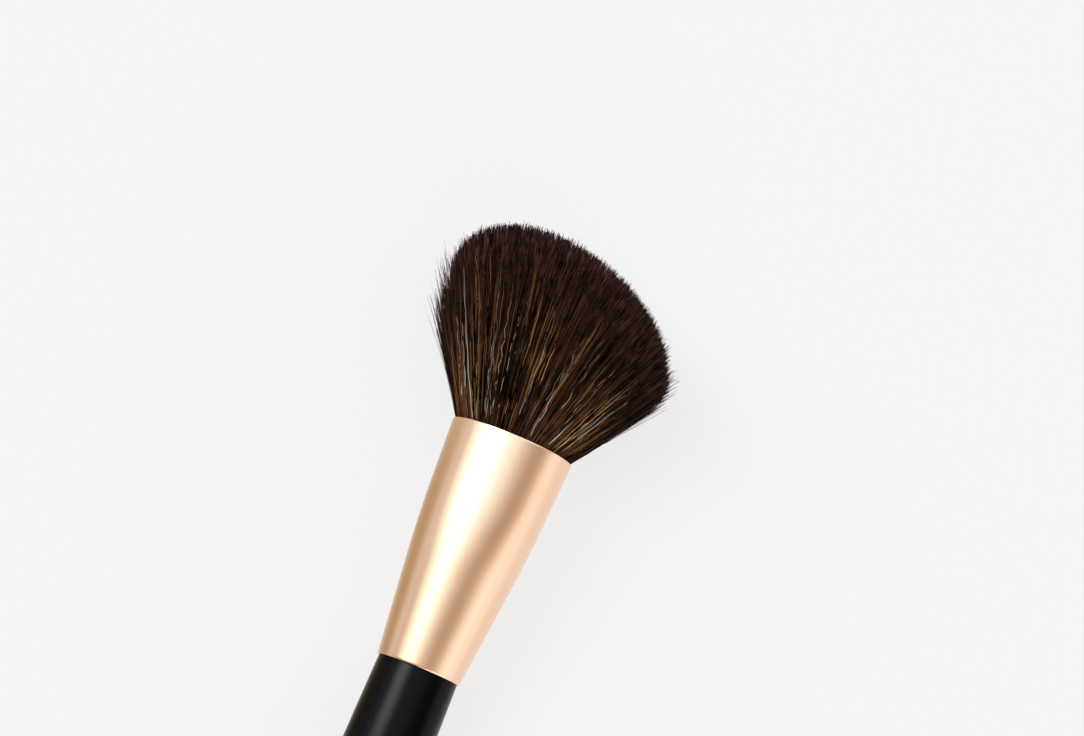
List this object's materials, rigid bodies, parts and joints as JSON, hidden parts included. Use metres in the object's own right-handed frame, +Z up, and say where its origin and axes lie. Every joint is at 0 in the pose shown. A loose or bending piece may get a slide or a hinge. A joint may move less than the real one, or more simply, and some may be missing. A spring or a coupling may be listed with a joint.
{
  "type": "angled blush brush",
  "caption": "Handheld cosmetic brush with a turned lacquered handle, a tapered metal ferrule and a wide fan of soft hair whose crown slants to one side.",
  "frame": {"origin": "centre of the bounding box in X and Y, on the table at the bottom, with the brush lying on its broad side", "axes": "+X along the brush from the handle's tip towards the hair, +Y across its broad side towards the longer edge of the slanted crown, +Z up"},
  "size_m": [0.1785, 0.0366, 0.0271],
  "materials": {
    "black_lacquer": "gloss",
    "champagne_metal": "satin",
    "brush_hair": "matte",
    "cast_resin": "gloss",
    "cotton_thread": "matte"
  },
  "bodies": {
    "root": {"handle": "black_lacquer", "ferrule": "champagne_metal", "hair_tuft": "brush_hair", "resin_plug": "cast_resin", "binding_thread": "cotton_thread"}
  },
  "joints": []
}
